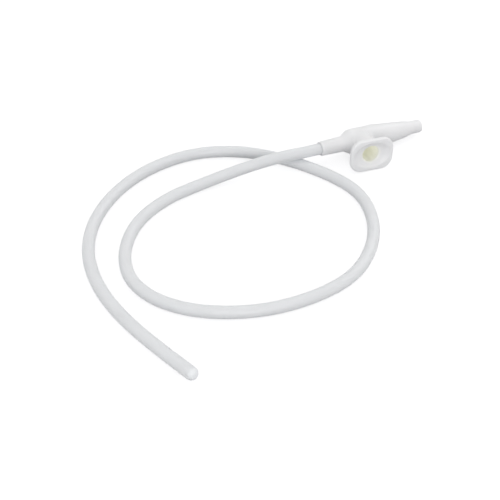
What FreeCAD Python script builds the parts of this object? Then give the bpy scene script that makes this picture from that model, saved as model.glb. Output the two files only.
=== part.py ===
import FreeCAD, Part
import math
import os

import Sketcher

# Suction catheter as it lies on a table: a soft tube in one loop that crosses itself,
# bonded into a moulded connector with a thumb port on its side.
# Frame: +Z up, the table at z = 0, the origin under the middle of the connector's box,
# +X from the tube towards the hose end, and the thumb port facing -Y.

# Driving sizes in millimetres. Stations run along the connector from the mouth of its sleeve.
SIZES = {
    "tube_radius": 2.665,
    "tube_bore_radius": 1.9,
    "tip_rounding": 2.6,
    "tip_wall": 2.4,
    "eye_radius": 1.1,
    "first_eye_from_tip": 8.5,
    "second_eye_from_tip": 15.0,
    "socket_depth": 10.0,
    "bond_gap": 0.05,
    "crossing_gap": 0.35,
    "crossing_run": 11.5,
    "crest_rise": 0.5,
    "lead_run": 6.0,
    "sleeve_mouth_radius": 3.35,
    "sleeve_root_radius": 3.7,
    "sleeve_length": 12.0,
    "shoulder_length": 4.0,
    "barrel_radius": 5.9,
    "barrel_length": 12.5,
    "cone_length": 17.0,
    "cone_end_radius": 4.0,
    "step_length": 4.5,
    "nipple_radius": 3.1,
    "nipple_length": 5.0,
    "connector_bore_radius": 2.0,
    "mouth_rounding": 0.8,
    "shoulder_rounding": 1.6,
    "nipple_rounding": 0.7,
    "port_station": 20.6,
    "port_lean": 6.0,
    "chimney_width": 12.0,
    "chimney_height": 11.4,
    "flange_reach": 15.7,
    "flange_width": 21.0,
    "flange_height": 15.7,
    "flange_thickness": 2.0,
    "flange_rounding": 5.5,
    "flange_edge_rounding": 0.6,
    "dish_half_width": 10.2,
    "dish_half_height": 7.0,
    "dish_sphere_depth": 4.2,
    "dish_offset": 2.0,
    "well_floor_radius": 3.5,
    "well_mouth_radius": 4.05,
    "well_past_axis": 2.2,
}

# The loop on the table, as plan points with the height of the tube's underside above the table.
LOOP = [
    (-66.0, 10.4, 2.7),
    (-84.0, 11.4, 0.0),
    (-103.0, 8.4, 0.0),
    (-119.5, -0.1, 0.0),
    (-131.0, -14.1, 0.0),
    (-136.0, -30.1, 0.0),
    (-133.5, -44.1, 0.0),
    (-125.5, -56.1, 0.0),
    (-112.5, -66.1, 0.0),
    (-93.5, -73.6, 0.0),
    (-71.5, -75.1, 0.0),
    (-51.5, -70.6, 0.0),
    (-35.5, -57.1, 0.0),
    (-26.5, -41.1, 0.0),
    (-23.5, -24.1, 0.0),
    (-30.0, -6.1, 0.0),
    (-42.5, 12.4, 0.0),
    (-58.0, 26.9, 0.0),
    (-78.5, 34.9, 0.0),
    (-101.0, 32.9, 0.0),
    (-121.0, 23.4, 0.0),
    (-137.0, 7.9, 0.0),
    (-146.5, -11.1, 0.0),
    (-149.0, -32.6, 0.0),
    (-146.0, -53.1, 0.0),
    (-139.5, -73.6, 0.0),
    (-132.3, -92.6, 0.0),
]

# Plan point of the crest, just past the crossing on the connector's side of the loop.
CREST = (-49.5, 6.9)

TABLE_GAP = 0.005
ARC_SHARE = 0.45
TURN_LEAST = 1e-6
ON_PLANE = 1e-4
EYE_TILT = -35.0
CUT_PAST = 1.0
FULL_TURN = 360.0
ROLL_RANGE = (-90.0, 90.0)
ROLL_STEP = 1e-7


def make_sheet(doc):
    """Writes the driving sizes into a spreadsheet with one alias each."""
    sheet = doc.addObject("Spreadsheet::Sheet", "Sizes")
    for row, (alias, value) in enumerate(SIZES.items(), start=1):
        sheet.set(f"A{row}", alias)
        sheet.set(f"B{row}", str(value))
        sheet.setAlias(f"B{row}", alias)
    doc.recompute()
    return sheet


def plane_of(body, role):
    """The body's own origin plane with this role."""
    return next(item for item in body.Origin.OriginFeatures if item.Role == role)


def add_sketch(body, name):
    """An empty sketch on the body's XZ plane."""
    sketch = body.newObject("Sketcher::SketchObject", name)
    sketch.AttachmentSupport = [(plane_of(body, "XZ_Plane"), "")]
    sketch.MapMode = "FlatFace"
    return sketch


def stand_on_port(body, item, distance):
    """Stands a sketch or a solid square on the port's leaning axis, at a distance given by a formula."""
    item.AttachmentSupport = [(plane_of(body, "XZ_Plane"), "")]
    item.MapMode = "FlatFace"
    item.AttachmentOffset = FreeCAD.Placement(FreeCAD.Vector(), FreeCAD.Rotation(FreeCAD.Vector(0, -1, 0), 1))
    item.setExpression("AttachmentOffset.Rotation.Angle", "Sizes.port_lean")
    item.setExpression("AttachmentOffset.Base.x", f"Sizes.port_station - ({distance}) * sin(Sizes.port_lean)")
    item.setExpression("AttachmentOffset.Base.z", f"({distance}) * cos(Sizes.port_lean)")


def port_directions(sheet):
    """The flange's lengthwise direction and the port's outward one, in the connector's own frame."""
    lean = math.radians(sheet.get("port_lean"))
    along = FreeCAD.Vector(math.cos(lean), -math.sin(lean), 0)
    outwards = FreeCAD.Vector(-math.sin(lean), -math.cos(lean), 0)
    return along, outwards


def bind(sketch, constraint, formula):
    """Adds a constraint whose value follows a formula of the sheet's aliases."""
    index = sketch.addConstraint(constraint)
    sketch.setExpression(f"Constraints[{index}]", formula)


def draw_profile(sheet, sketch, corners):
    """Draws a closed outline whose corners are sums of the sheet's aliases along each axis."""
    def place(names):
        return sum(sheet.get(name) for name in names)

    points = [FreeCAD.Vector(place(along), place(out), 0) for along, out in corners]
    last = len(points)
    for index, point in enumerate(points):
        sketch.addGeometry(Part.LineSegment(point, points[(index + 1) % last]), False)
    for index in range(last):
        sketch.addConstraint(Sketcher.Constraint("Coincident", index, 2, (index + 1) % last, 1))
    for index, (along, out) in enumerate(corners):
        for kind, names in (("DistanceX", along), ("DistanceY", out)):
            constraint = Sketcher.Constraint(kind, -1, 1, index, 1, place(names))
            if names:
                bind(sketch, constraint, " + ".join(f"Sizes.{name}" for name in names))
            else:
                sketch.addConstraint(constraint)


def draw_rectangle(sheet, sketch, width, height):
    """Draws a rectangle round the sketch's origin, sized by two aliases."""
    right = sheet.get(width) / 2
    top = sheet.get(height) / 2
    corners = [(-right, -top), (right, -top), (right, top), (-right, top)]
    points = [FreeCAD.Vector(x, y, 0) for x, y in corners]
    for index in range(4):
        sketch.addGeometry(Part.LineSegment(points[index], points[(index + 1) % 4]), False)
    for index in range(4):
        sketch.addConstraint(Sketcher.Constraint("Coincident", index, 2, (index + 1) % 4, 1))
        sketch.addConstraint(Sketcher.Constraint("Vertical" if index % 2 else "Horizontal", index))
    bind(sketch, Sketcher.Constraint("DistanceX", 0, 1, 0, 2, 2 * right), f"Sizes.{width}")
    bind(sketch, Sketcher.Constraint("DistanceY", 1, 1, 1, 2, 2 * top), f"Sizes.{height}")
    bind(sketch, Sketcher.Constraint("DistanceX", -1, 1, 0, 2, right), f"Sizes.{width} / 2")
    bind(sketch, Sketcher.Constraint("DistanceY", -1, 1, 1, 2, top), f"Sizes.{height} / 2")


def draw_oblong(sheet, sketch, width, height):
    """Draws a slot outline round the sketch's origin, sized by two aliases."""
    radius = sheet.get(height) / 2
    right = sheet.get(width) / 2 - radius
    normal = FreeCAD.Vector(0, 0, 1)
    quarter = math.pi / 2
    around_right = Part.Circle(FreeCAD.Vector(right, 0, 0), normal, radius)
    around_left = Part.Circle(FreeCAD.Vector(-right, 0, 0), normal, radius)
    sketch.addGeometry(Part.ArcOfCircle(around_right, -quarter, quarter), False)
    sketch.addGeometry(Part.ArcOfCircle(around_left, quarter, 3 * quarter), False)
    top = (FreeCAD.Vector(right, radius, 0), FreeCAD.Vector(-right, radius, 0))
    bottom = (FreeCAD.Vector(-right, -radius, 0), FreeCAD.Vector(right, -radius, 0))
    sketch.addGeometry(Part.LineSegment(*top), False)
    sketch.addGeometry(Part.LineSegment(*bottom), False)
    for arc, end, line, start in ((0, 2, 2, 1), (1, 1, 2, 2), (1, 2, 3, 1), (0, 1, 3, 2)):
        sketch.addConstraint(Sketcher.Constraint("Tangent", arc, end, line, start))
    sketch.addConstraint(Sketcher.Constraint("PointOnObject", 0, 3, -1))
    sketch.addConstraint(Sketcher.Constraint("PointOnObject", 1, 3, -1))
    bind(sketch, Sketcher.Constraint("Radius", 0, radius), f"Sizes.{height} / 2")
    half = f"(Sizes.{width} - Sizes.{height}) / 2"
    bind(sketch, Sketcher.Constraint("DistanceX", -1, 1, 0, 3, right), half)
    bind(sketch, Sketcher.Constraint("DistanceX", 1, 3, -1, 1, right), half)


def turned(body, kind, name, sketch):
    """A revolution or groove of a sketch about the body's X axis."""
    feature = body.newObject(kind, name)
    feature.Profile = sketch
    feature.ReferenceAxis = (sketch, ["H_Axis"])
    feature.Angle = FULL_TURN
    return feature


def padded(body, name, sketch, formula):
    """A pad of a sketch whose length follows a formula."""
    pad = body.newObject("PartDesign::Pad", name)
    pad.Profile = sketch
    pad.setExpression("Length", formula)
    return pad


def rounded(body, name, base, wanted, formula):
    """Rounds the edges of a feature for which the test says yes."""
    edges = [f"Edge{k}" for k, edge in enumerate(base.Shape.Edges, start=1) if wanted(edge)]
    if not edges:
        raise RuntimeError(f"{name} found no edge to round")
    fillet = body.newObject("PartDesign::Fillet", name)
    fillet.Base = (base, edges)
    fillet.setExpression("Radius", formula)
    return fillet


def ring_at(station, radius):
    """A test for the circular edge at a station along X with a given radius."""
    def wanted(edge):
        curve = edge.Curve
        if not isinstance(curve, Part.Circle):
            return False
        return abs(curve.Center.x - station) < ON_PLANE and abs(curve.Radius - radius) < ON_PLANE
    return wanted


def upright_edges(pivot, outwards, near, far):
    """A test for straight edges along the port's axis between two distances from its foot."""
    def wanted(edge):
        if not isinstance(edge.Curve, Part.Line) or abs(edge.Curve.Direction.dot(outwards)) < 1 - ON_PLANE:
            return False
        ends = sorted((vertex.Point - pivot).dot(outwards) for vertex in edge.Vertexes)
        return abs(ends[-1] - far) < ON_PLANE and ends[0] > near - ON_PLANE
    return wanted


def flat_rim(pivot, outwards, distance):
    """A test for the edges of the flange that lie at one distance from the port's foot."""
    def wanted(edge):
        return all(abs((vertex.Point - pivot).dot(outwards) - distance) < ON_PLANE for vertex in edge.Vertexes)
    return wanted


def make_connector(doc, sheet):
    """The moulded connector in its own frame: mouth of the sleeve at the origin, axis along X."""
    body = doc.addObject("PartDesign::Body", "connector")
    body.Label = "connector"
    get = sheet.get

    # Turned outside: sleeve, shoulder, barrel, cone, step and nipple
    sleeve = ["sleeve_length"]
    shoulder = sleeve + ["shoulder_length"]
    barrel = shoulder + ["barrel_length"]
    cone = barrel + ["cone_length"]
    step = cone + ["step_length"]
    nipple = step + ["nipple_length"]
    outside = add_sketch(body, "outside")
    draw_profile(sheet, outside, [
        ([], []),
        (nipple, []),
        (nipple, ["nipple_radius"]),
        (step, ["nipple_radius"]),
        (cone, ["cone_end_radius"]),
        (barrel, ["barrel_radius"]),
        (shoulder, ["barrel_radius"]),
        (sleeve, ["sleeve_root_radius"]),
        ([], ["sleeve_mouth_radius"]),
    ])
    shell = turned(body, "PartDesign::Revolution", "turned_outside", outside)
    doc.recompute()

    def station(names):
        return sum(get(name) for name in names)

    mouth_ring = ring_at(0.0, get("sleeve_mouth_radius"))
    end_ring = ring_at(station(nipple), get("nipple_radius"))
    bends = [
        ring_at(station(sleeve), get("sleeve_root_radius")),
        ring_at(station(shoulder), get("barrel_radius")),
        ring_at(station(barrel), get("barrel_radius")),
        ring_at(station(cone), get("cone_end_radius")),
        ring_at(station(step), get("nipple_radius")),
    ]
    soft = rounded(body, "mouth_round", shell, mouth_ring, "Sizes.mouth_rounding")
    doc.recompute()
    soft = rounded(body, "end_round", soft, end_ring, "Sizes.nipple_rounding")
    doc.recompute()
    rounded(body, "bends", soft, lambda edge: any(test(edge) for test in bends), "Sizes.shoulder_rounding")
    doc.recompute()

    # Chimney and thumb flange on the side, leaning towards the sleeve
    chimney_plan = add_sketch(body, "chimney_plan")
    stand_on_port(body, chimney_plan, "0")
    draw_oblong(sheet, chimney_plan, "chimney_width", "chimney_height")
    neck = "Sizes.flange_reach - Sizes.flange_thickness"
    padded(body, "chimney", chimney_plan, neck)
    flange_plan = add_sketch(body, "flange_plan")
    stand_on_port(body, flange_plan, neck)
    draw_rectangle(sheet, flange_plan, "flange_width", "flange_height")
    flange = padded(body, "flange", flange_plan, "Sizes.flange_thickness")
    doc.recompute()
    pivot = FreeCAD.Vector(get("port_station"), 0, 0)
    outwards = port_directions(sheet)[1]
    face = get("flange_reach")
    corners = rounded(body, "flange_corners", flange,
                      upright_edges(pivot, outwards, face - get("flange_thickness"), face), "Sizes.flange_rounding")
    doc.recompute()
    rounded(body, "flange_edge", corners, flat_rim(pivot, outwards, face), "Sizes.flange_edge_rounding")
    doc.recompute()

    # Thumb dish, and the tapered well from it down past the axis
    dish = body.newObject("PartDesign::SubtractiveEllipsoid", "thumb_dish")
    stand_on_port(body, dish, "Sizes.flange_reach + Sizes.dish_offset")
    dish.setExpression("Radius1", "Sizes.dish_sphere_depth")
    dish.setExpression("Radius2", "Sizes.dish_half_width")
    dish.setExpression("Radius3", "Sizes.dish_half_height")
    well = body.newObject("PartDesign::SubtractiveCone", "port_well")
    stand_on_port(body, well, "-Sizes.well_past_axis")
    well.setExpression("Radius1", "Sizes.well_floor_radius")
    well.setExpression("Radius2", "Sizes.well_mouth_radius")
    well.setExpression("Height", "Sizes.flange_reach + Sizes.well_past_axis")

    # Socket for the tube up to its stop, and the bore on to the hose end
    inside = add_sketch(body, "inside")
    draw_profile(sheet, inside, [
        ([], []),
        (nipple, []),
        (nipple, ["connector_bore_radius"]),
        (["socket_depth"], ["connector_bore_radius"]),
        (["socket_depth"], ["tube_radius", "bond_gap"]),
        ([], ["tube_radius", "bond_gap"]),
    ])
    turned(body, "PartDesign::Groove", "socket_and_bore", inside)
    doc.recompute()
    return body


def overhang(sheet, down):
    """How much further the flange reaches along a direction than the far end of the barrel does."""
    get = sheet.get
    along, outwards = port_directions(sheet)
    corner = get("flange_rounding")
    lengthwise = abs(down.dot(along))
    flange = get("port_station") * down.x + get("flange_reach") * down.dot(outwards)
    flange += (get("flange_width") / 2 - corner) * lengthwise + (get("flange_height") / 2 - corner) * abs(down.z)
    flange += corner * math.hypot(lengthwise, down.z)
    barrel_end = get("sleeve_length") + get("shoulder_length") + get("barrel_length")
    return flange - barrel_end * down.x - get("barrel_radius") * math.hypot(down.y, down.z)


def lay_down(sheet, body):
    """Rolls and pitches the connector to its rest and centres its box over the origin.

    It is propped on the crossing tubes at one end, and rests on the far end of its barrel. It rolls until the
    flange touches the table too: the roll is found by halving.
    """
    get = sheet.get
    barrel_end = get("sleeve_length") + get("shoulder_length") + get("barrel_length")
    prop = 3 * get("tube_radius") + get("crossing_gap")
    pitch = math.asin((prop - get("barrel_radius")) / (barrel_end + get("crossing_run")))
    pitching = FreeCAD.Rotation(FreeCAD.Vector(0, 1, 0), math.degrees(pitch))
    low, high = ROLL_RANGE
    while high - low > ROLL_STEP:
        middle = (low + high) / 2
        turn = pitching * FreeCAD.Rotation(FreeCAD.Vector(1, 0, 0), -middle)
        if overhang(sheet, turn.inverted().multVec(FreeCAD.Vector(0, 0, -1))) > 0:
            low = middle
        else:
            high = middle
    body.Placement = FreeCAD.Placement(FreeCAD.Vector(), turn)
    box = body.Shape.optimalBoundingBox(False, False)
    base = FreeCAD.Vector(-(box.XMin + box.XMax) / 2, -(box.YMin + box.YMax) / 2, -box.ZMin)
    body.Placement = FreeCAD.Placement(base, turn)
    return body.Placement


def tube_route(sheet, placement):
    """The tube's corner points, from its seat in the socket round the loop to the tip."""
    get = sheet.get
    rest = get("tube_radius") + TABLE_GAP
    seat = placement.multVec(FreeCAD.Vector(get("socket_depth"), 0, 0))
    lead = placement.multVec(FreeCAD.Vector(-get("lead_run"), 0, 0))
    crest_height = 3 * get("tube_radius") + get("crossing_gap") + get("crest_rise")
    crest = FreeCAD.Vector(*CREST, crest_height)
    return [seat, lead, crest] + [FreeCAD.Vector(x, y, rest + lift) for x, y, lift in LOOP]


def smooth_path(points):
    """Straight runs joined by tangent arcs, as edges, with the radius of each arc."""
    edges = []
    radii = []
    start = points[0]
    for before, corner, after in zip(points, points[1:], points[2:]):
        arrive = corner - before
        leave = after - corner
        half = arrive.getAngle(leave) / 2
        if half < TURN_LEAST:
            raise RuntimeError("three points of the route are in line")
        shorter = min(arrive.Length, leave.Length)
        arrive.normalize()
        leave.normalize()
        cut = ARC_SHARE * shorter
        radius = cut / math.tan(half)
        first = corner - arrive * cut
        last = corner + leave * cut
        inward = leave - arrive
        inward.normalize()
        middle = corner + inward * (radius / math.cos(half) - radius)
        edges.append(Part.LineSegment(start, first).toShape())
        edges.append(Part.Arc(first, middle, last).toShape())
        radii.append(radius)
        start = last
    edges.append(Part.LineSegment(start, points[-1]).toShape())
    return edges, radii


def swept(edges, radius):
    """A round solid of one radius along a path."""
    path = Part.Wire(edges)
    heading = edges[0].tangentAt(edges[0].FirstParameter)
    start = edges[0].valueAt(edges[0].FirstParameter)
    ring = Part.Wire([Part.makeCircle(radius, start, heading)])
    return path.makePipeShell([ring], True, True)


def make_tube(doc, sheet, placement):
    """The catheter's tube: open at the seat, with a closed round tip and two side eyes."""
    get = sheet.get
    points = tube_route(sheet, placement)
    edges, radii = smooth_path(points)
    radius = get("tube_radius")
    outer = swept(edges, radius)
    length = sum(edge.Length for edge in edges)
    whole = math.pi * radius ** 2 * length
    print("tube length %.1f mm, arc radii %s" % (length, " ".join("%.0f" % value for value in radii)))
    print("tube volume over section times length %.5f" % (outer.Volume / whole))

    tip = points[-1]
    heading = points[-1] - points[-2]
    heading.normalize()
    rim = [edge for edge in outer.Edges
           if isinstance(edge.Curve, Part.Circle) and edge.Curve.Center.distanceToPoint(tip) < ON_PLANE]
    outer = outer.makeFillet(get("tip_rounding"), rim)

    # The bore stops short of the tip
    last = edges[-1]
    bore_end = tip - heading * get("tip_wall")
    bore_edges = edges[:-1] + [Part.LineSegment(last.Vertexes[0].Point, bore_end).toShape()]
    bore = swept(bore_edges, get("tube_bore_radius"))

    # One side eye on each side, through one wall only
    up = FreeCAD.Vector(0, 0, 1)
    side = heading.cross(up)
    tilt = math.radians(EYE_TILT)
    outwards = side * math.cos(tilt) + up * math.sin(tilt)
    eyes = []
    for distance, way in ((get("first_eye_from_tip"), outwards), (get("second_eye_from_tip"), -outwards)):
        middle = tip - heading * distance
        eyes.append(Part.makeCylinder(get("eye_radius"), radius + CUT_PAST, middle, way))

    tube = doc.addObject("Part::Feature", "catheter_tube")
    tube.Label = "catheter_tube"
    tube.Shape = outer.cut([bore] + eyes)
    tube.Placement = FreeCAD.Placement()
    return tube


def check(doc, nodes):
    """Stops when an object has failed or a sub-part is not one valid solid."""
    for item in doc.Objects:
        if "Invalid" in item.State or "Error" in item.State:
            raise RuntimeError(f"{item.Name} failed: {item.State}")
    for node in nodes:
        shape = node.Shape
        if shape.isNull() or not shape.isValid() or len(shape.Solids) != 1:
            raise RuntimeError(f"{node.Label} is not one valid solid")
        print("%s volume %.1f mm3, box %s" % (node.Label, shape.Volume, shape.optimalBoundingBox(False, False)))


def main():
    """Builds the document and writes one STEP file for each piece."""
    doc = FreeCAD.newDocument("suction_catheter")
    sheet = make_sheet(doc)
    connector = make_connector(doc, sheet)
    placement = lay_down(sheet, connector)
    tube = make_tube(doc, sheet, placement)
    doc.recompute()
    nodes = [connector, tube]
    check(doc, nodes)
    os.makedirs("parts", exist_ok=True)
    for node in nodes:
        node.Shape.exportStep(f"parts/{node.Label}.step")


main()
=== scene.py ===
"""Suction catheter lying on a table in one open loop that crosses itself.

A frosted vinyl tube with a closed round tip and two side eyes is bonded into a white moulded connector, which has
a thumb port on its side and a tapered end for the hose. Lengths are in metres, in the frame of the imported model.
"""

import logging
import math
from collections.abc import Sequence
from dataclasses import dataclass, field
from enum import Enum

import bmesh
import bpy
import numpy as np
from mathutils import Matrix


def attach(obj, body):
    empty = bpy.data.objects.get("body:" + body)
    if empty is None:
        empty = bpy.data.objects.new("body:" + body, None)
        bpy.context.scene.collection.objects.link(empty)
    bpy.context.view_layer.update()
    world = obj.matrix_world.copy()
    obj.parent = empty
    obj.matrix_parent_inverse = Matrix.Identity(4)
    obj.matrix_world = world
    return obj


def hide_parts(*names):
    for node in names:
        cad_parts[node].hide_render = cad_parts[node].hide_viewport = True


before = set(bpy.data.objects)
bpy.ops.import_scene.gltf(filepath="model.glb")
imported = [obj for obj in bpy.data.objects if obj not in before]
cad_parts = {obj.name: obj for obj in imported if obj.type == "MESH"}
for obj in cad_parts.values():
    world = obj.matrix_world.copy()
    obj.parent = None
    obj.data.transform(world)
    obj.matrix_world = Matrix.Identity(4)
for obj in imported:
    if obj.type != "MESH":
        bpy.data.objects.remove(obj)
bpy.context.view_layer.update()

MM = 0.001
FULL_TURN = 2 * math.pi
WELD_DISTANCE = 1e-6
BEND_STEPS = 6
NEARLY_NOTHING = 1e-9
WHITE = (1.0, 1.0, 1.0, 1.0)

log = logging.getLogger("suction_catheter")


class EyeSide(Enum):
    """The side of the tube that an eye looks to, as the sign of its sideways direction seen from the tube's end."""

    LEFT = -1.0
    RIGHT = 1.0


class Shade(Enum):
    """How the faces of a piece meet: angle in degrees above which an edge stays crisp."""

    EXTRUDED = 40.0
    MOULDED = 38.0


# Colour and nodes


def linear(hex_code: str) -> tuple[float, float, float, float]:
    """Turns an sRGB colour into the linear one that shaders take.

    Each channel c is c / 12.92 where it is dark, and ((c + 0.055) / 1.055) to the power 2.4 elsewhere.

    Args:
        hex_code: Six hexadecimal digits after a hash mark.

    Returns:
        Red, green, blue and an alpha of 1.
    """
    channels = np.array([int(hex_code[k:k + 2], 16) for k in (1, 3, 5)]) / 255
    bright = ((channels + 0.055) / 1.055) ** 2.4
    red, green, blue = np.where(channels <= 0.04045, channels / 12.92, bright)
    return float(red), float(green), float(blue), 1.0


def add_node(tree: bpy.types.NodeTree, kind: str, settings: dict | None = None,
             inputs: dict | None = None) -> bpy.types.Node:
    """Adds a node with its settings, and links or sets its inputs.

    Args:
        tree: The node tree that gets the node.
        kind: The node's type name.
        settings: Values of the node's own properties.
        inputs: Values or output sockets, by the name or number of the input.

    Returns:
        The new node.
    """
    node = tree.nodes.new(kind)
    for name, value in (settings or {}).items():
        setattr(node, name, value)
    for name, value in (inputs or {}).items():
        if isinstance(value, bpy.types.NodeSocket):
            tree.links.new(value, node.inputs[name])
        else:
            node.inputs[name].default_value = value
    return node


def background_rays(tree: bpy.types.NodeTree) -> bpy.types.NodeSocket:
    """Tells the rays that show the background: to the eye, in reflections, and through clear things.

    Args:
        tree: The node tree that gets the nodes.

    Returns:
        A socket that is 1 on such a ray and 0 on any other.
    """
    path = add_node(tree, "ShaderNodeLightPath")
    seen = add_node(tree, "ShaderNodeMath", {"operation": "MAXIMUM"}, {
        0: path.outputs["Is Camera Ray"], 1: path.outputs["Is Glossy Ray"]})
    shown = add_node(tree, "ShaderNodeMath", {"operation": "MAXIMUM"}, {
        0: seen.outputs["Value"], 1: path.outputs["Is Transmission Ray"]})
    return shown.outputs["Value"]


def empty_material(name: str) -> bpy.types.Material:
    """Makes a material with an empty node tree.

    Args:
        name: The material's name.

    Returns:
        The material.
    """
    material = bpy.data.materials.new(name)
    material.use_nodes = True
    material.node_tree.nodes.clear()
    return material


# Surfaces


def softened(corners: np.ndarray, cuts: Sequence[float | np.ndarray]) -> np.ndarray:
    """Rounds the inner corners of a line, or of many lines side by side.

    A corner C becomes a parabola from the point S, a cut before it, to the point E, a cut after it:
    (1 - t)^2 S + 2 t (1 - t) C + t^2 E, with t from 0 to 1.

    Args:
        corners: The corners, first axis along the line.
        cuts: For each inner corner, the distance from it at which the bend starts, for all lines or for each.

    Returns:
        The points of the softened line, first axis along the line.
    """
    inner = corners[1:-1]
    into = inner - corners[:-2]
    onward = corners[2:] - inner
    lines = corners.shape[1:-1]
    reach = np.stack([np.broadcast_to(cut, lines) for cut in cuts])[..., None]
    start = inner - into / np.linalg.norm(into, axis=-1, keepdims=True) * reach
    end = inner + onward / np.linalg.norm(onward, axis=-1, keepdims=True) * reach
    t = np.linspace(0, 1, BEND_STEPS + 1).reshape((-1,) + (1,) * corners.ndim)
    bends = (1 - t) ** 2 * start + 2 * t * (1 - t) * inner + t ** 2 * end
    bends = bends.swapaxes(0, 1).reshape(-1, *corners.shape[1:])
    return np.concatenate([corners[:1], bends, corners[-1:]])


def densified(rows: np.ndarray, spacing: float) -> np.ndarray:
    """Puts rows of points between rows that lie far apart.

    Between two rows A and B the new ones are (1 - t) A + t B, with equal steps of t.

    Args:
        rows: The rows, first axis across them.
        spacing: The greatest mean distance that may stay between two rows.

    Returns:
        The rows with the new ones among them.
    """
    gaps = np.linalg.norm(np.diff(rows, axis=0), axis=-1).reshape(len(rows) - 1, -1).mean(axis=1)
    counts = np.maximum(1, np.ceil(gaps / spacing)).astype(int)
    below = np.repeat(np.arange(len(counts)), counts)
    first = np.repeat(np.cumsum(counts) - counts, counts)
    share = (np.arange(len(below)) - first) / np.repeat(counts, counts)
    share = share.reshape((-1,) + (1,) * (rows.ndim - 1))
    return np.concatenate([rows[below] * (1 - share) + rows[below + 1] * share, rows[-1:]])


def turned(profile: np.ndarray, angles: np.ndarray) -> np.ndarray:
    """Turns a profile of stations and radii about the X axis.

    The point at station s, radius r and angle a is (s, -r cos a, r sin a), so angle 0 looks to -Y.

    Args:
        profile: Stations and radii, one row each.
        angles: Angles about the axis.

    Returns:
        A grid of points, stations by angles.
    """
    station, radius = profile[:, :1], profile[:, 1:]
    return np.stack([station + 0 * angles, -radius * np.cos(angles), radius * np.sin(angles)], axis=-1)


def lattice(index: np.ndarray) -> np.ndarray:
    """Lists the four-sided faces of a grid.

    The face of row i and column j has the corners (i, j), (i, j + 1), (i + 1, j + 1) and (i + 1, j).

    Args:
        index: The number of the point at each place of the grid. A closed grid repeats its first row or column.

    Returns:
        Four point numbers for each face.
    """
    return np.stack([index[:-1, :-1], index[:-1, 1:], index[1:, 1:], index[1:, :-1]], axis=-1).reshape(-1, 4)


def reach_of_oblong(across: np.ndarray, upward: np.ndarray, half_width: float, half_height: float,
                    corner: float) -> np.ndarray:
    """Distance from the middle of an oblong with round corners to its edge.

    Along a direction d it is half the width over |dx| where that meets an upright side, half the height over |dy|
    where that meets a level side, and elsewhere d.c + sqrt((d.c)^2 - c.c + r^2) with c the middle of the corner's
    arc and r its radius.

    Args:
        across: The direction's part along the width.
        upward: The direction's part along the height.
        half_width: Half the oblong's width.
        half_height: Half the oblong's height.
        corner: Radius of its corners.

    Returns:
        The distance for each direction.
    """
    dx, dy = np.maximum(np.abs(across), NEARLY_NOTHING), np.maximum(np.abs(upward), NEARLY_NOTHING)
    cx, cy = half_width - corner, half_height - corner
    along = dx * cx + dy * cy
    arc = along + np.sqrt(np.maximum(along ** 2 - cx ** 2 - cy ** 2 + corner ** 2, 0))
    to_side, to_top = half_width / dx, half_height / dy
    reach = np.where(to_side * dy <= cy, to_side, arc)
    return np.where(to_top * dx <= cx, to_top, reach)


def make_piece(name: str, points: np.ndarray, faces: np.ndarray,
               kept: dict[str, np.ndarray] | None = None) -> bpy.types.Object:
    """Makes a closed piece from points and four-sided faces.

    Args:
        name: The piece's name.
        points: Its points, some of them double along seams and at poles.
        faces: Four point numbers for each face.
        kept: Numbers or vectors to keep at each point, by name.

    Returns:
        The piece, welded, with its faces outwards.
    """
    mesh = bpy.data.meshes.new(name)
    mesh.from_pydata(points.reshape(-1, 3).tolist(), [], faces.tolist())
    for label, values in (kept or {}).items():
        write_attribute(mesh, label, values)
    form = bmesh.new()
    form.from_mesh(mesh)
    bmesh.ops.remove_doubles(form, verts=form.verts, dist=WELD_DISTANCE)
    bmesh.ops.recalc_face_normals(form, faces=form.faces)
    form.to_mesh(mesh)
    form.free()
    piece = bpy.data.objects.new(name, mesh)
    bpy.context.scene.collection.objects.link(piece)
    return piece


def cut_away(piece: bpy.types.Object, cutters: Sequence[bpy.types.Object]) -> None:
    """Takes the room of each cutter out of a piece, and removes the cutters.

    Args:
        piece: The piece to cut.
        cutters: Closed pieces.
    """
    for cutter in cutters:
        knife = piece.modifiers.new("cut", "BOOLEAN")
        knife.operation = "DIFFERENCE"
        knife.solver = "EXACT"
        knife.object = cutter
    graph = bpy.context.evaluated_depsgraph_get()
    cut = bpy.data.meshes.new_from_object(piece.evaluated_get(graph))
    cut.name = piece.data.name
    piece.modifiers.clear()
    piece.data = cut
    for cutter in cutters:
        bpy.data.objects.remove(cutter)


def shade(piece: bpy.types.Object, way: Shade) -> None:
    """Shades a piece smoothly, apart from its crisp edges."""
    piece.data.polygons.foreach_set("use_smooth", np.ones(len(piece.data.polygons), bool))
    piece.data.set_sharp_from_angle(angle=math.radians(way.value))


def points_of(mesh: bpy.types.Mesh) -> np.ndarray:
    """Reads the points of a mesh.

    Args:
        mesh: The mesh.

    Returns:
        Its points, in three columns.
    """
    flat = np.zeros(3 * len(mesh.vertices), np.float32)
    mesh.vertices.foreach_get("co", flat)
    return flat.reshape(-1, 3).astype(float)


def write_attribute(mesh: bpy.types.Mesh, name: str, values: np.ndarray) -> None:
    """Keeps a number or a vector at each point of a mesh.

    Args:
        mesh: The mesh.
        name: The attribute's name.
        values: One number, or one row of three, for each point.
    """
    vector = values.ndim == 2
    kind, slot = ("FLOAT_VECTOR", "vector") if vector else ("FLOAT", "value")
    attribute = mesh.attributes.new(name, kind, "POINT")
    attribute.data.foreach_set(slot, values.astype(np.float32).ravel())


# Finishes


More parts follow.
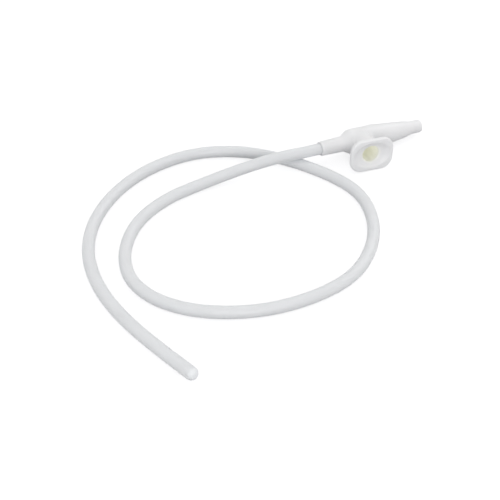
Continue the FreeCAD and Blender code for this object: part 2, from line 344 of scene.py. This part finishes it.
@dataclass(frozen=True)
class FrostedVinyl:
    """Soft plasticised PVC, extruded and drawn through a matt die.

    The eye gets a milky, faintly blue body, a dull sheen that follows the tube, hair-fine lengthwise lines from
    the die, and slow clouds in the milkiness.
    """

    body: str = "#F2F4F7"
    cloud: str = "#EBEEF1"
    roughness: float = 0.36
    rough_spread: float = 0.10
    ior: float = 1.53
    subsurface: float = 0.7
    scatter_depth: float = 2.2 * MM
    cloud_size: float = 9 * MM
    cloud_detail: float = 3.0
    cloud_roughness: float = 0.55
    # Die lines are about 0.05 mm wide; drawn 0.35 mm wide so that they show in the render
    line_width: float = 0.35 * MM
    line_stretch: float = 0.02
    line_detail: float = 2.0
    line_height: float = 0.012 * MM
    line_strength: float = 0.6

    def material(self) -> bpy.types.Material:
        """Builds the material, patterned in the straightened tube's coordinates.

        Returns:
            The material.
        """
        material = empty_material("frosted_vinyl")
        tree = material.node_tree
        laid = add_node(tree, "ShaderNodeAttribute", {"attribute_name": "straight"})
        clouds = add_node(tree, "ShaderNodeTexNoise", {}, {
            "Vector": laid.outputs["Vector"], "Scale": 1 / self.cloud_size, "Detail": self.cloud_detail,
            "Roughness": self.cloud_roughness})
        tint = add_node(tree, "ShaderNodeMix", {"data_type": "RGBA"}, {
            0: clouds.outputs["Fac"], 6: linear(self.body), 7: linear(self.cloud)})
        drawn = add_node(tree, "ShaderNodeMapping", {}, {
            "Vector": laid.outputs["Vector"], "Scale": (self.line_stretch, 1.0, 1.0)})
        lines = add_node(tree, "ShaderNodeTexNoise", {}, {
            "Vector": drawn.outputs["Vector"], "Scale": 1 / self.line_width, "Detail": self.line_detail})
        dullness = add_node(tree, "ShaderNodeMapRange", {}, {
            "Value": lines.outputs["Fac"],
            "To Min": self.roughness - self.rough_spread, "To Max": self.roughness + self.rough_spread})
        relief = add_node(tree, "ShaderNodeBump", {}, {
            "Height": lines.outputs["Fac"], "Strength": self.line_strength, "Distance": self.line_height})
        shader = add_node(tree, "ShaderNodeBsdfPrincipled", {}, {
            "Base Color": tint.outputs[2], "Roughness": dullness.outputs["Result"], "IOR": self.ior,
            "Subsurface Weight": self.subsurface, "Subsurface Radius": (1.0, 1.0, 1.0),
            "Subsurface Scale": self.scatter_depth, "Normal": relief.outputs["Normal"]})
        add_node(tree, "ShaderNodeOutputMaterial", {}, {"Surface": shader.outputs["BSDF"]})
        return material


@dataclass(frozen=True)
class MouldedPolythene:
    """White high-density polyethylene, injection moulded in a fine-blasted tool.

    The eye gets a clean white, soft satin highlights with a fine grain, a hairline where the two halves of the
    mould met, and a pale yellow-green down in the port. That yellow-green is painted light: the light that comes
    through the whole wall is painted into the colour there as a warm tint and a painted glow, with a deeper scatter.
    """

    body: str = "#F2F2F3"
    cloud: str = "#EEEEEF"
    # Painted light: the warm tint painted down in the port, standing in for light through the wall
    deep: str = "#FFFFEC"
    roughness: float = 0.38
    rough_spread: float = 0.06
    ior: float = 1.51
    subsurface: float = 0.8
    scatter_depth: float = 1.2 * MM
    deep_scatter: float = 9.0 * MM
    # Painted glow down in the port, though it is no lamp
    painted_glow: float = 0.09
    cloud_size: float = 14 * MM
    cloud_detail: float = 3.0
    # Blasting leaves a grain of about 0.05 mm; drawn at 0.3 mm so that it shows in the render
    grain_size: float = 0.3 * MM
    grain_detail: float = 2.0
    grain_height: float = 0.008 * MM
    grain_strength: float = 0.5
    seam_width: float = 0.12 * MM
    seam_height: float = 0.03 * MM
    seam_strength: float = 0.7

    def material(self) -> bpy.types.Material:
        """Builds the material, patterned in the connector's own coordinates.

        Returns:
            The material.
        """
        material = empty_material("moulded_polythene")
        tree = material.node_tree
        placed = add_node(tree, "ShaderNodeAttribute", {"attribute_name": "moulded"})
        depth = add_node(tree, "ShaderNodeAttribute", {"attribute_name": "well"})
        clouds = add_node(tree, "ShaderNodeTexNoise", {}, {
            "Vector": placed.outputs["Vector"], "Scale": 1 / self.cloud_size, "Detail": self.cloud_detail})
        tint = add_node(tree, "ShaderNodeMix", {"data_type": "RGBA"}, {
            0: clouds.outputs["Fac"], 6: linear(self.body), 7: linear(self.cloud)})
        # Painted light: the well's share mixes the warm tint into the colour down in the port
        painted_warm_light = add_node(tree, "ShaderNodeMix", {"data_type": "RGBA"}, {
            0: depth.outputs["Fac"], 6: tint.outputs[2], 7: linear(self.deep)})
        grain = add_node(tree, "ShaderNodeTexNoise", {}, {
            "Vector": placed.outputs["Vector"], "Scale": 1 / self.grain_size, "Detail": self.grain_detail})
        dullness = add_node(tree, "ShaderNodeMapRange", {}, {
            "Value": grain.outputs["Fac"],
            "To Min": self.roughness - self.rough_spread, "To Max": self.roughness + self.rough_spread})
        parts = add_node(tree, "ShaderNodeSeparateXYZ", {}, {"Vector": placed.outputs["Vector"]})
        off_seam = add_node(tree, "ShaderNodeMath", {"operation": "ABSOLUTE"}, {0: parts.outputs["Z"]})
        seam = add_node(tree, "ShaderNodeMapRange", {"interpolation_type": "SMOOTHSTEP"}, {
            "Value": off_seam.outputs["Value"], "From Min": 0.0, "From Max": self.seam_width,
            "To Min": 1.0, "To Max": 0.0})
        fine = add_node(tree, "ShaderNodeBump", {}, {
            "Height": grain.outputs["Fac"], "Strength": self.grain_strength, "Distance": self.grain_height})
        relief = add_node(tree, "ShaderNodeBump", {}, {
            "Height": seam.outputs["Result"], "Strength": self.seam_strength, "Distance": self.seam_height,
            "Normal": fine.outputs["Normal"]})
        spread = add_node(tree, "ShaderNodeMapRange", {}, {
            "Value": depth.outputs["Fac"], "To Min": self.scatter_depth, "To Max": self.deep_scatter})
        # Painted glow: emission down in the port, standing in for light through the wall
        glow = add_node(tree, "ShaderNodeMath", {"operation": "MULTIPLY"}, {
            0: depth.outputs["Fac"], 1: self.painted_glow})
        shader = add_node(tree, "ShaderNodeBsdfPrincipled", {}, {
            "Base Color": painted_warm_light.outputs[2], "Roughness": dullness.outputs["Result"], "IOR": self.ior,
            "Subsurface Weight": self.subsurface, "Subsurface Radius": (1.0, 1.0, 1.0),
            "Subsurface Scale": spread.outputs["Result"], "Normal": relief.outputs["Normal"],
            "Emission Color": linear(self.deep), "Emission Strength": glow.outputs["Value"]})
        add_node(tree, "ShaderNodeOutputMaterial", {}, {"Surface": shader.outputs["BSDF"]})
        return material


@dataclass(frozen=True)
class WhiteLaminate:
    """The table's matt laminate, overexposed as in the photograph: plain white in the light, with a faint shadow.

    It throws back less light than the eye sees there, so that the object's lower edges stay dark.
    """

    top: str = "#A6A6A8"
    roughness: float = 0.6
    gloss: float = 0.2
    lift: float = 0.735

    def material(self) -> bpy.types.Material:
        """Builds the material, lifted to white for the eye and for reflections but not as a light.

        Returns:
            The material.
        """
        material = empty_material("white_laminate")
        tree = material.node_tree
        glow = add_node(tree, "ShaderNodeMath", {"operation": "MULTIPLY"}, {0: background_rays(tree), 1: self.lift})
        shader = add_node(tree, "ShaderNodeBsdfPrincipled", {}, {
            "Base Color": linear(self.top), "Roughness": self.roughness, "Specular IOR Level": self.gloss,
            "Emission Color": WHITE, "Emission Strength": glow.outputs["Value"]})
        add_node(tree, "ShaderNodeOutputMaterial", {}, {"Surface": shader.outputs["BSDF"]})
        return material


# Pieces


@dataclass
class CatheterTube:
    """The tube: open where it sits in the connector, with a closed round tip and two side eyes."""

    radius: float = 2.665 * MM
    bore_radius: float = 1.9 * MM
    start: float = 0.05 * MM
    tip_rounding: float = 2.6 * MM
    tip_wall: float = 2.4 * MM
    bore_end_cut: float = 0.6 * MM
    outer_step: float = 0.85 * MM
    bore_step: float = 1.7 * MM
    sides: int = 44
    eyes: tuple[tuple[float, EyeSide], ...] = ((8.5 * MM, EyeSide.RIGHT), (15.0 * MM, EyeSide.LEFT))
    eye_radius: float = 1.1 * MM
    eye_tilt: float = math.radians(-35)
    eye_sides: int = 32
    eye_step: float = 0.25 * MM
    # Corners of the eye's punch: how far past the tube's skin, and how much wider than the hole
    eye_flare: tuple[tuple[float, float], ...] = ((-0.35 * MM, 0.0), (0.4 * MM, 0.55 * MM), (1.5 * MM, 1.0 * MM))
    eye_cuts: tuple[float, ...] = (0.0, 0.3 * MM, 0.2 * MM, 0.0)
    length: float = 0.5575
    exit: tuple[float, float, float] = (-0.027446, 0.005555, 0.007845)
    runs_per_span: int = 24
    # Seat in the socket, straight out of the sleeve, over the crossing, and round the loop to the tip
    route: tuple[tuple[float, float, float], ...] = (
        (-17.465, 5.555, 7.234), (-33.435, 5.555, 8.212), (-49.5, 6.9, 8.845), (-66.0, 10.4, 5.37),
        (-84.0, 11.4, 2.67), (-103.0, 8.4, 2.67), (-119.5, -0.1, 2.67), (-131.0, -14.1, 2.67),
        (-136.0, -30.1, 2.67), (-133.5, -44.1, 2.67), (-125.5, -56.1, 2.67), (-112.5, -66.1, 2.67),
        (-93.5, -73.6, 2.67), (-71.5, -75.1, 2.67), (-51.5, -70.6, 2.67), (-35.5, -57.1, 2.67),
        (-26.5, -41.1, 2.67), (-23.5, -24.1, 2.67), (-30.0, -6.1, 2.67), (-42.5, 12.4, 2.67),
        (-58.0, 26.9, 2.67), (-78.5, 34.9, 2.67), (-101.0, 32.9, 2.67), (-121.0, 23.4, 2.67),
        (-137.0, 7.9, 2.67), (-146.5, -11.1, 2.67), (-149.0, -32.6, 2.67), (-146.0, -53.1, 2.67),
        (-139.5, -73.6, 2.67), (-132.3, -92.6, 2.67),
    )
    path: np.ndarray = field(init=False)

    def __post_init__(self) -> None:
        """Reads the path as soon as the route is known."""
        self.path = self.read_path()

    def read_path(self) -> np.ndarray:
        """Reads points along a smooth NURBS line that has the route's points as its control points.

        Returns:
            The points along the line, in metres.
        """
        curve = bpy.data.curves.new("tube_route", "CURVE")
        curve.dimensions = "3D"
        spline = curve.splines.new("NURBS")
        spline.points.add(len(self.route) - 1)
        controls = np.column_stack([np.array(self.route) * MM, np.ones(len(self.route))])
        spline.points.foreach_set("co", controls.ravel())
        spline.order_u = 3
        spline.use_endpoint_u = True
        spline.resolution_u = self.runs_per_span
        line = bpy.data.objects.new("tube_route", curve)
        mesh = bpy.data.meshes.new_from_object(line)
        points = points_of(mesh)
        bpy.data.objects.remove(line)
        bpy.data.curves.remove(curve)
        bpy.data.meshes.remove(mesh)
        return points

    def along(self) -> np.ndarray:
        """Distance along the path at each of its points."""
        return np.concatenate([[0.0], np.cumsum(np.linalg.norm(np.diff(self.path, axis=0), axis=1))])

    def stand(self, distance: np.ndarray) -> tuple[np.ndarray, np.ndarray, np.ndarray, np.ndarray]:
        """Finds where the path is at given distances, and how it heads there.

        The heading T is the path's slope, the sideways direction is T x Z, and the upward one is sideways x T,
        each made one unit long.

        Args:
            distance: Distances along the path.

        Returns:
            Places, headings, sideways directions and upward directions.
        """
        along = self.along()
        slope = np.gradient(self.path, along, axis=0)
        place = np.stack([np.interp(distance, along, self.path[:, k]) for k in range(3)], axis=-1)
        heading = np.stack([np.interp(distance, along, slope[:, k]) for k in range(3)], axis=-1)
        heading /= np.linalg.norm(heading, axis=-1, keepdims=True)
        side = np.cross(heading, [0.0, 0.0, 1.0])
        side /= np.linalg.norm(side, axis=-1, keepdims=True)
        return place, heading, side, np.cross(side, heading)

    def wall(self) -> np.ndarray:
        """Works out the wall's section, as distances along the path and radii.

        It goes from the middle of the tip over its dome, where the point at angle q is R (1 - cos q) behind the
        tip's end and R (1 - sin q) inside the outer radius, with R the rounding. Then it goes back along the
        outside, in at the open end, and along the bore to the middle of the bore's end.

        Returns:
            Distances and radii, one row each.
        """
        end = self.along()[-1]
        quarter = np.linspace(0, FULL_TURN / 4, 2 * BEND_STEPS + 1)
        dome = np.column_stack([end - self.tip_rounding * (1 - np.cos(quarter)),
                                self.radius - self.tip_rounding * (1 - np.sin(quarter))])
        skin = densified(np.array([dome[-1], [self.start, self.radius]]), self.outer_step)
        bore_end = end - self.tip_wall
        bore = softened(np.array([[self.start, self.bore_radius], [bore_end, self.bore_radius], [bore_end, 0.0]]),
                        [self.bore_end_cut])
        return np.concatenate([[[end, 0.0]], dome[:-1], skin, densified(bore, self.bore_step)])

    def tube_mesh(self) -> bpy.types.Object:
        """Carries the wall's section along the path.

        The point at distance d, radius r and angle a is P(d) + r (cos a side(d) + sin a up(d)).

        Returns:
            The tube without its eyes.
        """
        wall = self.wall()
        distance, radius = wall[:, 0], wall[:, 1]
        place, _, side, up = self.stand(distance)
        angle = np.arange(self.sides) * FULL_TURN / self.sides
        out = np.cos(angle)[:, None] * side[:, None] + np.sin(angle)[:, None] * up[:, None]
        points = place[:, None] + radius[:, None, None] * out
        index = np.arange(points[..., 0].size).reshape(len(wall), self.sides)
        index = np.pad(index, ((0, 0), (0, 1)), mode="wrap")
        straight = np.stack([distance[:, None] + 0 * angle, radius[:, None] * np.cos(angle),
                             radius[:, None] * np.sin(angle)], axis=-1)
        return make_piece("soft_tube", points, lattice(index), {"straight": straight.reshape(-1, 3)})

    def eye_cutter(self, from_tip: float, eye_side: EyeSide) -> bpy.types.Object:
        """Makes the punch of one side eye, a trumpet that widens towards the skin.

        The punch's profile is turned about its own axis and then laid across the tube.

        Args:
            from_tip: Distance of the eye's middle from the tip.
            eye_side: The side that the eye looks to.

        Returns:
            The closed punch.
        """
        flare = np.array(self.eye_flare) + np.array([self.radius, self.eye_radius])
        corners = np.concatenate([[[0.0, 0.0], [0.0, self.eye_radius]], flare, [[flare[-1, 0], 0.0]]])
        profile = densified(softened(corners, self.eye_cuts), self.eye_step)
        grid = turned(profile, np.linspace(0, FULL_TURN, self.eye_sides + 1))
        place, heading, side, up = (row[0] for row in self.stand(np.array([self.along()[-1] - from_tip])))
        outward = eye_side.value * (math.cos(self.eye_tilt) * side + math.sin(self.eye_tilt) * up)
        axes = np.stack([outward, heading, np.cross(outward, heading)])
        index = np.arange(grid[..., 0].size).reshape(grid.shape[:2])
        return make_piece("eye_punch", place + grid @ axes, lattice(index))

    def build(self) -> bpy.types.Object:
        """Builds the tube, punches its eyes and dresses it.

        Returns:
            The finished tube.
        """
        tube = self.tube_mesh()
        cut_away(tube, [self.eye_cutter(*eye) for eye in self.eyes])
        shade(tube, Shade.EXTRUDED)
        tube.data.materials.clear()
        tube.data.materials.append(FrostedVinyl().material())
        return tube


@dataclass
class Connector:
    """The moulded connector, in its own frame: mouth of the sleeve at 0, axis along X, thumb port facing -Y."""

    mouth: tuple[float, float, float] = (-27.4459 * MM, 5.55497 * MM, 7.84518 * MM)
    pitch: float = math.radians(3.50439)
    roll: float = math.radians(-5.8215)
    # Corners of the turned outside: station, radius, and how far from the corner its bend starts, in millimetres
    outside: tuple[tuple[float, float, float], ...] = (
        (0.0, 3.35, 0.8), (12.0, 3.7, 0.7), (16.0, 5.9, 0.9), (28.5, 5.9, 0.9), (45.5, 4.0, 0.5),
        (50.0, 3.1, 0.5), (55.0, 3.1, 0.7),
    )
    # Corners of the socket and the bore, in the same three numbers
    inside: tuple[tuple[float, float, float], ...] = (
        (-1.0, 2.98, 0.0), (0.6, 2.715, 0.3), (10.0, 2.715, 0.0), (10.0, 2.0, 0.0), (54.4, 2.0, 0.4),
        (56.0, 2.6, 0.0),
    )
    # Stations between which the turned outside is read, clear of its two end faces
    skin_from: float = 1 * MM
    skin_to: float = 54 * MM
    core_sides: int = 64
    core_step: float = 1.5 * MM
    around: int = 128
    # Window in the turned outside round the port
    patch_columns: int = 72
    patch_rings: int = 6
    patch_from: float = 9.4 * MM
    patch_to: float = 28.6 * MM
    row_step: float = 0.4 * MM
    port_station: float = 20.6 * MM
    port_lean: float = math.radians(6)
    foot_reach: float = 7.6 * MM
    foot_back: float = 0.6 * MM
    foot_angle: float = math.radians(86)
    foot_fullness: float = 2.3
    foot_softness: float = 0.75
    # Half width, half height and corner radius
    chimney: tuple[float, float, float] = (6.0 * MM, 5.7 * MM, 5.7 * MM)
    flange: tuple[float, float, float] = (10.5 * MM, 7.85 * MM, 5.5 * MM)
    root_passes: int = 3
    # How far from its corner each bend starts: under the flange, and at its back and front edges
    flange_cuts: tuple[float, float, float] = (0.9 * MM, 0.35 * MM, 0.6 * MM)
    # The same for the dish's rim and its bend, as shares of the distance between them
    dish_softness: tuple[float, float] = (0.42, 0.55)
    # The same for the well's mouth and its floor
    well_cuts: tuple[float, float] = (0.35 * MM, 0.5 * MM)
    flange_back: float = 13.7 * MM
    flange_face: float = 15.7 * MM
    dish_half_width: float = 10.2 * MM
    dish_half_height: float = 7.0 * MM
    dish_depth: float = 4.2 * MM
    dish_offset: float = 2.0 * MM
    well_mouth_radius: float = 3.95 * MM
    well_floor_radius: float = 3.5 * MM
    well_floor: float = -2.2 * MM
    # Where the painted light through the resin goes: its start under the face, its growth, its edge, and its fade
    cast_start: float = 0.9 * MM
    cast_growth: float = 3.5 * MM
    cast_edge: float = 5.3 * MM
    cast_fade: float = 1.3 * MM
    cast_below_floor: float = 0.3 * MM

    def axes(self) -> np.ndarray:
        """The connector's own axes as rows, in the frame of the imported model."""
        turn = Matrix.Rotation(self.pitch, 3, "Y") @ Matrix.Rotation(self.roll, 3, "X")
        return np.array(turn.transposed())

    def profile(self) -> np.ndarray:
        """Rounds the corners of the turned outside.

        Returns:
            Stations and radii, from the middle of the mouth to the middle of the hose end.
        """
        corners = np.array(self.outside) * MM
        ends = np.array([[corners[0, 0], 0.0], [corners[-1, 0], 0.0]])
        line = np.concatenate([ends[:1], corners[:, :2], ends[1:]])
        return densified(softened(line, corners[:, 2]), self.row_step)

    def radius_at(self, station: np.ndarray, profile: np.ndarray) -> np.ndarray:
        """Reads the turned outside's radius at given stations, leaving out its two end faces."""
        skin = profile[(profile[:, 0] > self.skin_from) & (profile[:, 0] < self.skin_to)]
        return np.interp(station, skin[:, 0], skin[:, 1])

    def on_barrel(self, station: np.ndarray, angle: np.ndarray, profile: np.ndarray) -> np.ndarray:
        """Finds points of the turned outside.

        The point at station s and angle a is (s, -r(s) cos a, r(s) sin a), with r(s) read from the profile.

        Args:
            station: Stations along the axis.
            angle: Angles about it, 0 towards the port.
            profile: The turned outside.

        Returns:
            The points.
        """
        radius = self.radius_at(station, profile)
        return np.stack([station, -radius * np.cos(angle), radius * np.sin(angle)], axis=-1)

    def at_port(self, direction: np.ndarray, distance: np.ndarray | float, height: np.ndarray | float) -> np.ndarray:
        """Finds points about the port's axis, which leans towards the sleeve.

        With l the lean, the point in direction d at distance q and height h is
        (port station + q dx cos l - h sin l, -q dx sin l - h cos l, q dz).

        Args:
            direction: Unit directions about the port's axis.
            distance: Distances from the port's axis.
            height: Distances along the port's axis from the connector's.

        Returns:
            The points.
        """
        flat = direction * np.broadcast_to(distance, direction.shape[:1])[:, None]
        level = np.broadcast_to(height, direction.shape[:1])
        lean_cos, lean_sin = math.cos(self.port_lean), math.sin(self.port_lean)
        return np.stack([self.port_station + flat[:, 0] * lean_cos - level * lean_sin,
                         -flat[:, 0] * lean_sin - level * lean_cos, flat[:, 1]], axis=-1)

    def port(self, foot: np.ndarray, direction: np.ndarray, profile: np.ndarray) -> np.ndarray:
        """Works out the port's surface from its foot on the barrel to the middle of the well's floor.

        In each direction about the port's axis it is one line: up the chimney, out under the flange, round its
        edge, over the rim, down the thumb dish, and down the tapered well. The dish is an ellipse of which two
        tangents are used, one at the rim and one at the well: their meeting point is the corner of its bend.

        Args:
            foot: The points where the chimney's foot leaves the barrel.
            direction: Unit direction of each of them about the port's axis.
            profile: The turned outside.

        Returns:
            A grid of points, along the line by direction.
        """
        dx, dz = direction[:, 0], direction[:, 1]
        stem = reach_of_oblong(dx, dz, *self.chimney)
        plate = reach_of_oblong(dx, dz, *self.flange)
        root = np.zeros(len(dx))
        for _ in range(self.root_passes):
            station = self.at_port(direction, stem, root)[:, 0]
            level = np.sqrt(np.maximum(self.radius_at(station, profile) ** 2 - (stem * dz) ** 2, 0))
            root = (level - stem * dx * math.sin(self.port_lean)) / math.cos(self.port_lean)
        long = 1 / np.hypot(dx / self.dish_half_width, dz / self.dish_half_height)
        rim = long * math.sqrt(1 - (self.dish_offset / self.dish_depth) ** 2)
        well = self.well_mouth_radius
        drop = self.dish_depth * np.sqrt(1 - (well / long) ** 2)
        rim_slope = rim / long ** 2 * self.dish_depth ** 2 / self.dish_offset
        well_slope = well / long ** 2 * self.dish_depth ** 2 / drop
        bend = (rim_slope * rim - well_slope * well - drop + self.dish_offset) / (rim_slope - well_slope)
        bend_drop = rim_slope * (rim - bend)
        lip = np.hypot(rim - bend, bend_drop)
        corners = np.stack([
            foot,
            self.at_port(direction, stem, root),
            self.at_port(direction, stem, self.flange_back),
            self.at_port(direction, plate, self.flange_back),
            self.at_port(direction, plate, self.flange_face),
            self.at_port(direction, rim, self.flange_face),
            self.at_port(direction, bend, self.flange_face - bend_drop),
            self.at_port(direction, well, self.flange_face + self.dish_offset - drop),
            self.at_port(direction, self.well_floor_radius, self.well_floor),
            self.at_port(direction, 0.0, self.well_floor),
        ])
        foot_cut = self.foot_softness * np.linalg.norm(corners[1] - corners[0], axis=-1)
        dish_cuts = [softness * lip for softness in self.dish_softness]
        line = softened(corners, [foot_cut, *self.flange_cuts, *dish_cuts, *self.well_cuts])
        return densified(line, self.row_step)

    def outer_mesh(self) -> bpy.types.Object:
        """Builds the outside with its port as one closed surface.

        The turned outside is a grid of stations by angles with a window round the port. Rings lead from the
        window's frame to the port's foot: ring t is (1 - t) frame + t foot, in stations and angles on the barrel.

        Returns:
            The closed piece, without the socket and the bore.
        """
        profile = self.profile()
        step = FULL_TURN / self.around
        angle = (np.arange(self.around + 1) - self.patch_columns / 2) * step
        shell = turned(profile, angle)
        index = np.arange(shell[..., 0].size).reshape(shell.shape[:2])
        rows = np.flatnonzero((profile[:, 0] > self.patch_from) & (profile[:, 0] < self.patch_to))
        first, last, width = rows[0], rows[-1], self.patch_columns
        row, column = np.mgrid[0:len(profile) - 1, 0:self.around]
        window = (row >= first) & (row < last) & (column < width)
        faces = lattice(index)[~window.ravel()]

        down, across = np.arange(first, last), np.arange(width)
        frame_rows = np.concatenate([down, np.full(width, last), down[::-1] + 1, np.full(width, first)])
        frame_columns = np.concatenate([0 * down, across, 0 * down + width, across[::-1] + 1])
        station, turn = profile[frame_rows, 0], angle[frame_columns]
        middle = (self.patch_from + self.patch_to) / 2
        way = np.arctan2(turn / abs(angle[0]), (station - middle) / (self.patch_to - middle))
        direction = np.stack([np.cos(way), np.sin(way)], axis=-1)
        full = (np.abs(direction) ** self.foot_fullness).sum(axis=1) ** (-1 / self.foot_fullness)
        foot_station = self.port_station - self.foot_back + self.foot_reach * full * direction[:, 0]
        foot_turn = self.foot_angle * full * direction[:, 1]
        share = np.linspace(0, 1, self.patch_rings + 1)[:, None]
        rings = self.on_barrel((1 - share) * station + share * foot_station,
                               (1 - share) * turn + share * foot_turn, profile)
        port = np.concatenate([rings[:-1], self.port(rings[-1], direction, profile)])
        port_index = np.arange(port[..., 0].size).reshape(port.shape[:2]) + shell[..., 0].size
        port_index = np.pad(port_index, ((0, 0), (0, 1)), mode="wrap")
        points = np.concatenate([shell.reshape(-1, 3), port.reshape(-1, 3)])
        return make_piece("port_connector", points, np.concatenate([faces, lattice(port_index)]))

    def inside_cutter(self) -> bpy.types.Object:
        """Makes the core of the socket and the bore, widened a little at both ends.

        Returns:
            The closed core.
        """
        corners = np.array(self.inside) * MM
        line = np.concatenate([[[corners[0, 0], 0.0]], corners[:, :2], [[corners[-1, 0], 0.0]]])
        line = densified(softened(line, corners[:, 2]), self.core_step)
        grid = turned(line, np.linspace(0, FULL_TURN, self.core_sides + 1))
        index = np.arange(grid[..., 0].size).reshape(grid.shape[:2])
        return make_piece("core", grid, lattice(index))

    def well_painted_light(self, points: np.ndarray) -> np.ndarray:
        """Works out the share of painted light at each point, standing in for light through the resin of the well.

        With x from the port's station and l the lean, the distance from the port's axis is q = hypot(x cos l - y
        sin l, z) and the height along it is h = -x sin l - y cos l. The light is (face - start - h) / growth times
        (edge - q) / fade, each kept from 0 to 1, and nothing below the well's floor.

        Args:
            points: Points in the connector's own frame.

        Returns:
            A share from 0 to 1 for each point.
        """
        x, y, z = (points - np.array([self.port_station, 0.0, 0.0])).T
        lean_cos, lean_sin = math.cos(self.port_lean), math.sin(self.port_lean)
        from_axis = np.hypot(x * lean_cos - y * lean_sin, z)
        height = -x * lean_sin - y * lean_cos
        depth = np.clip((self.flange_face - self.cast_start - height) / self.cast_growth, 0, 1)
        depth *= height > self.well_floor - self.cast_below_floor
        return depth * np.clip((self.cast_edge - from_axis) / self.cast_fade, 0, 1)

    def build(self) -> bpy.types.Object:
        """Builds the connector, bores it, lays it down in its place and dresses it.

        Returns:
            The finished connector.
        """
        connector = self.outer_mesh()
        cut_away(connector, [self.inside_cutter()])
        mesh = connector.data
        own = points_of(mesh)
        write_attribute(mesh, "moulded", own)
        # Share of painted light: where the warm tint and glow are painted down in the port
        write_attribute(mesh, "well", self.well_painted_light(own))
        placed = own @ self.axes() + np.array(self.mouth)
        mesh.vertices.foreach_set("co", placed.astype(np.float32).ravel())
        mesh.update()
        shade(connector, Shade.MOULDED)
        mesh.materials.clear()
        mesh.materials.append(MouldedPolythene().material())
        return connector


# Surroundings


@dataclass(frozen=True)
class Lamp:
    """A square softbox: where it stands, how wide it is, and its power in watts."""

    name: str
    place: tuple[float, float, float]
    width: float
    power: float


@dataclass
class Studio:
    """The table top, the soft lamps, the pale surroundings and the camera."""

    target: tuple[float, float, float] = (-0.075, -0.025, 0.0)
    camera_place: tuple[float, float, float] = (-0.2182, -0.31486, 0.2743)
    camera_down: float = math.radians(41.5)
    camera_heading: float = math.radians(-25.83)
    lens: float = 70.96
    sensor: float = 36.0
    nearest: float = 0.01
    table_width: float = 6.0
    ambient: float = 0.78
    lamps: tuple[Lamp, ...] = (
        Lamp("key", (0.75, 0.30, 0.70), 0.55, 1.2),
        Lamp("fill", (-0.40, -0.85, 0.45), 0.50, 2.2),
    )

    def add_table(self) -> None:
        """Lays the table top at height 0."""
        half = self.table_width / 2
        mesh = bpy.data.meshes.new("table_top")
        mesh.from_pydata([(-half, -half, 0), (half, -half, 0), (half, half, 0), (-half, half, 0)], [], [(0, 1, 2, 3)])
        table = bpy.data.objects.new("table_top", mesh)
        bpy.context.scene.collection.objects.link(table)
        mesh.materials.append(WhiteLaminate().material())

    def add_lamps(self) -> None:
        """Hangs the softboxes, each turned towards the middle of the loop."""
        for lamp in self.lamps:
            data = bpy.data.lights.new(lamp.name, "AREA")
            data.shape = "SQUARE"
            data.size = lamp.width
            data.energy = lamp.power
            holder = bpy.data.objects.new(lamp.name, data)
            away = np.array(lamp.place) - np.array(self.target)
            across = np.cross([0.0, 0.0, 1.0], away)
            across /= np.linalg.norm(across)
            back = away / np.linalg.norm(away)
            turn = Matrix(np.stack([across, np.cross(back, across), back], axis=1).tolist())
            holder.matrix_world = Matrix.Translation(lamp.place) @ turn.to_4x4()
            bpy.context.scene.collection.objects.link(holder)

    def add_surroundings(self) -> None:
        """Makes the surroundings: plain white to the eye and in reflections, a soft light on everything else."""
        world = bpy.data.worlds.new("pale_room")
        bpy.context.scene.world = world
        world.use_nodes = True
        tree = world.node_tree
        tree.nodes.clear()
        level = add_node(tree, "ShaderNodeMapRange", {}, {
            "Value": background_rays(tree), "To Min": self.ambient, "To Max": 1.0})
        sky = add_node(tree, "ShaderNodeBackground", {}, {"Color": WHITE, "Strength": level.outputs["Result"]})
        add_node(tree, "ShaderNodeOutputWorld", {}, {"Surface": sky.outputs["Background"]})

    def add_camera(self) -> None:
        """Stands the level camera where the photograph was taken from."""
        data = bpy.data.cameras.new("camera")
        data.lens = self.lens
        data.sensor_width = self.sensor
        data.clip_start = self.nearest
        camera = bpy.data.objects.new("camera", data)
        camera.location = self.camera_place
        camera.rotation_euler = (math.pi / 2 - self.camera_down, 0.0, self.camera_heading)
        bpy.context.scene.collection.objects.link(camera)
        bpy.context.scene.camera = camera

    def build(self) -> None:
        """Sets everything up round the object."""
        self.add_table()
        self.add_lamps()
        self.add_surroundings()
        self.add_camera()
        bpy.context.scene.view_settings.view_transform = "Standard"


def report(piece: bpy.types.Object) -> None:
    """Logs a piece's name and its number of faces."""
    log.info("%s: %d faces", piece.name, len(piece.data.polygons))


def main() -> None:
    """Builds the surroundings and the two pieces in order, hiding the imported parts they stand for."""
    logging.basicConfig(level=logging.INFO, format="%(message)s")
    Studio().build()

    tube_maker = CatheterTube()
    tube = tube_maker.build()
    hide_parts("catheter_tube")
    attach(tube, "root")
    report(tube)

    connector = Connector().build()
    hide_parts("connector")
    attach(connector, "root")
    report(connector)


if __name__ == "__main__":
    main()
